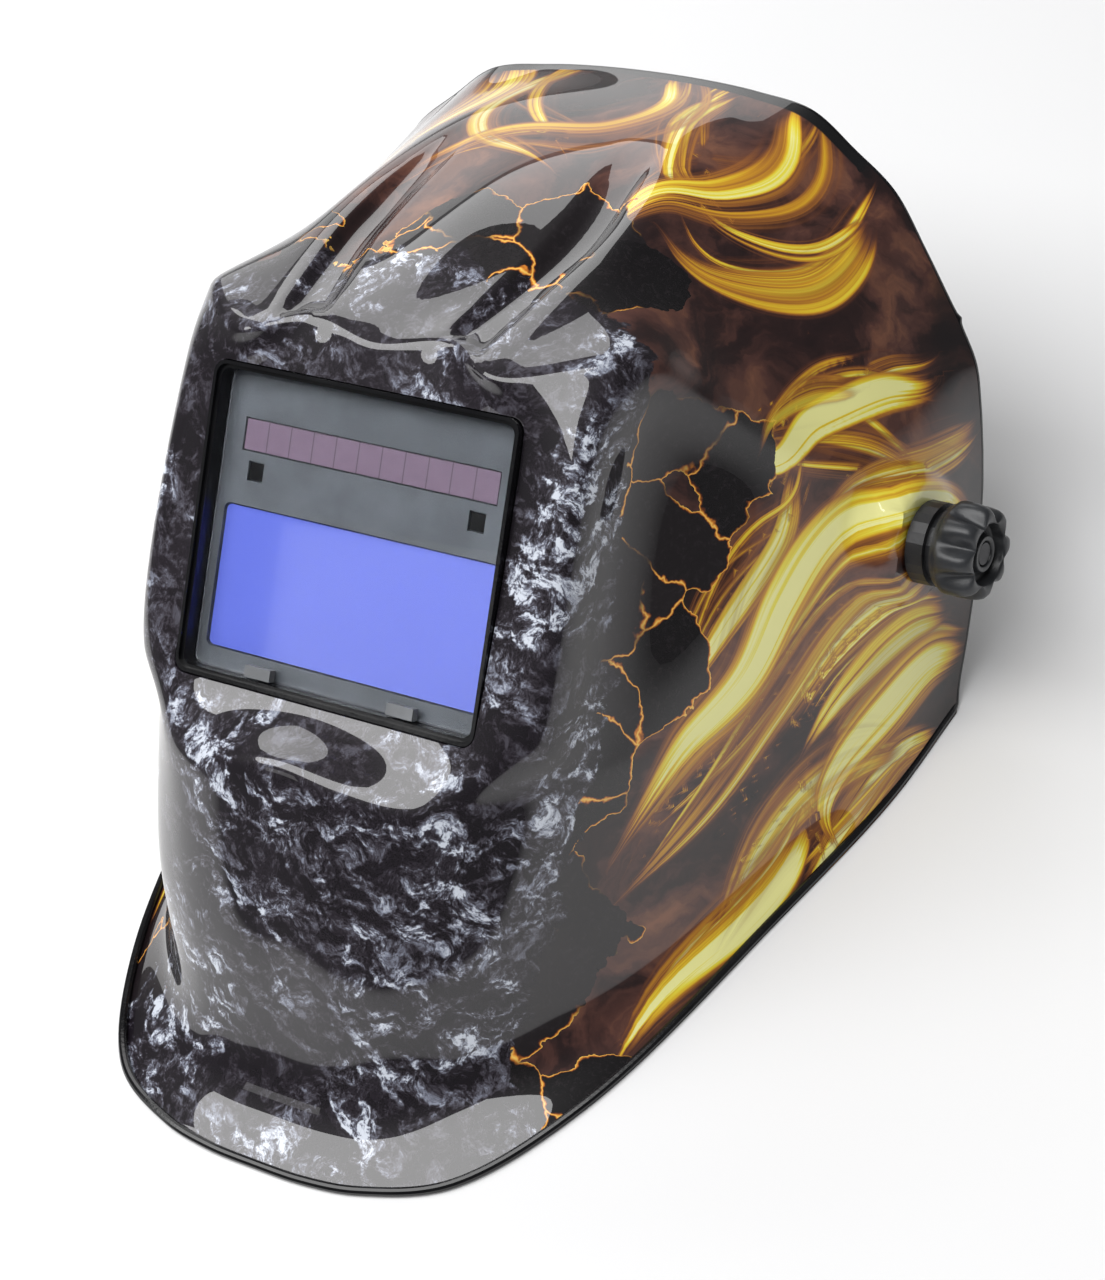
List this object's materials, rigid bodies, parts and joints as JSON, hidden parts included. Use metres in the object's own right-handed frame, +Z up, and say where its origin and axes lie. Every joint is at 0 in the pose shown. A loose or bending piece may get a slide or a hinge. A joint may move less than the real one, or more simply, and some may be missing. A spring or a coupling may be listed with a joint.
{
  "type": "welding helmet",
  "caption": "Auto-darkening welding helmet: glossy sculpted shell with a framed filter window, tilting headgear, clamp knobs and a ratchet strap.",
  "frame": {"origin": "centre of the bounding box in plan, on the surface the lower rim rests on", "axes": "+X is the wearer's left, -Y is the lens side, +Z is up with the helmet resting on its lower rim"},
  "size_m": [0.2808, 0.3298, 0.167],
  "materials": {
    "shell_gloss": null,
    "black_gloss": "plain",
    "black_plastic": "plain",
    "charcoal_plastic": "plain",
    "grey_plastic": "plain",
    "clear_lens": "plain",
    "blue_filter": "plain",
    "shutter_glass": "plain",
    "solar_film": "plain",
    "sensor_window": "plain",
    "steel": "plain",
    "pad_fabric": "plain"
  },
  "bodies": {
    "shell": {"helmet_shell": "shell_gloss", "lens_bezel": "black_gloss", "cover_snap_tab_left": "grey_plastic", "cover_snap_tab_right": "grey_plastic", "front_cover_lens": "clear_lens", "filter_front_case": "charcoal_plastic", "solar_strip": "solar_film", "arc_sensor_left": "sensor_window", "arc_sensor_right": "sensor_window", "filter_glass": "blue_filter", "light_shutter": "shutter_glass", "filter_rear_case": "black_plastic", "inner_cover_lens": "clear_lens", "cartridge_retainer": "black_plastic", "spacer_ring_left": "black_plastic", "spacer_ring_right": "black_plastic"},
    "headgear": {"headband": "black_plastic", "brow_sweatband": "pad_fabric", "nape_pad": "pad_fabric", "ratchet_housing": "black_plastic", "crown_strap_left": "black_plastic", "crown_strap_right": "black_plastic", "crown_pin": "grey_plastic", "strap_rivet_left": "steel", "strap_rivet_right": "steel", "side_arm_left": "charcoal_plastic", "side_arm_right": "charcoal_plastic", "pivot_stud_left": "steel", "pivot_stud_right": "steel", "pivot_sleeve_left": "black_plastic", "pivot_sleeve_right": "black_plastic", "friction_washer_left": "grey_plastic", "friction_washer_right": "grey_plastic", "tilt_stop_plate_left": "black_plastic", "tilt_stop_plate_right": "black_plastic"},
    "tilt_knob_left_body": {"tilt_knob_left": "charcoal_plastic"},
    "tilt_knob_right_body": {"tilt_knob_right": "charcoal_plastic"},
    "ratchet": {"ratchet_knob": "charcoal_plastic", "ratchet_pinion": "steel"},
    "rack_left": {"strap_rack_left": "grey_plastic"},
    "rack_right": {"strap_rack_right": "grey_plastic"},
    "shade_control": {"shade_dial": "grey_plastic"},
    "sensitivity_control": {"sensitivity_dial": "grey_plastic"},
    "delay_control": {"delay_dial": "grey_plastic"},
    "test_control": {"test_button": "grey_plastic"},
    "battery_tray": {"battery_drawer": "charcoal_plastic", "battery_cell": "steel"},
    "latch_left": {"retainer_latch_left": "grey_plastic"},
    "latch_right": {"retainer_latch_right": "grey_plastic"}
  },
  "joints": [
    {"name": "headgear_tilt", "type": "hinge", "parent": "shell", "child": "headgear", "pos_m": [0, 0.05384, 0.06299], "axis": [1, 0, 0], "range_deg": [-30, 42]},
    {"name": "tilt_knob_left_turn", "type": "hinge", "parent": "headgear", "child": "tilt_knob_left_body", "pos_m": [0.134, 0.05384, 0.06299], "axis": [1, 0, 0], "continuous": true},
    {"name": "tilt_knob_right_turn", "type": "hinge", "parent": "headgear", "child": "tilt_knob_right_body", "pos_m": [-0.134, 0.05384, 0.06299], "axis": [-1, 0, 0], "continuous": true},
    {"name": "ratchet_turn", "type": "hinge", "parent": "headgear", "child": "ratchet", "pos_m": [0, 0.15589, 0.03431], "axis": [0, 0.9627, -0.2706], "range_deg": [-25, 175]},
    {"name": "rack_left_slide", "type": "slide", "parent": "headgear", "child": "rack_left", "axis": [-1, 0, 0], "range_m": [-0.0015, 0.01]},
    {"name": "rack_right_slide", "type": "slide", "parent": "headgear", "child": "rack_right", "axis": [1, 0, 0], "range_m": [-0.0015, 0.01]},
    {"name": "shade_dial_turn", "type": "hinge", "parent": "shell", "child": "shade_control", "pos_m": [-0.032, -0.00006, 0.1249], "axis": [0, -0.6984, 0.7157], "range_deg": [-135, 135]},
    {"name": "sensitivity_dial_turn", "type": "hinge", "parent": "shell", "child": "sensitivity_control", "pos_m": [0, -0.00006, 0.1249], "axis": [0, -0.6984, 0.7157], "range_deg": [-135, 135]},
    {"name": "delay_dial_turn", "type": "hinge", "parent": "shell", "child": "delay_control", "pos_m": [0.032, -0.00006, 0.1249], "axis": [0, -0.6984, 0.7157], "range_deg": [-135, 135]},
    {"name": "test_button_press", "type": "slide", "parent": "shell", "child": "test_control", "axis": [0, -0.6984, 0.7157], "range_m": [0, 0.001], "stiffness_N_per_m": 300, "springref_m": -0.0005},
    {"name": "battery_drawer_slide", "type": "slide", "parent": "shell", "child": "battery_tray", "axis": [-1, 0, 0], "range_m": [0, 0.008]},
    {"name": "latch_left_turn", "type": "hinge", "parent": "shell", "child": "latch_left", "pos_m": [0.0615, -0.01843, 0.10363], "axis": [0, -0.6984, 0.7157], "range_deg": [0, 90]},
    {"name": "latch_right_turn", "type": "hinge", "parent": "shell", "child": "latch_right", "pos_m": [-0.0615, -0.01843, 0.10363], "axis": [0, -0.6984, 0.7157], "range_deg": [-90, 0]}
  ],
  "couplings": [
    {"joint": "rack_left_slide", "follows": "ratchet_turn", "m_per_rad": 0.0032},
    {"joint": "rack_right_slide", "follows": "ratchet_turn", "m_per_rad": 0.0032}
  ]
}
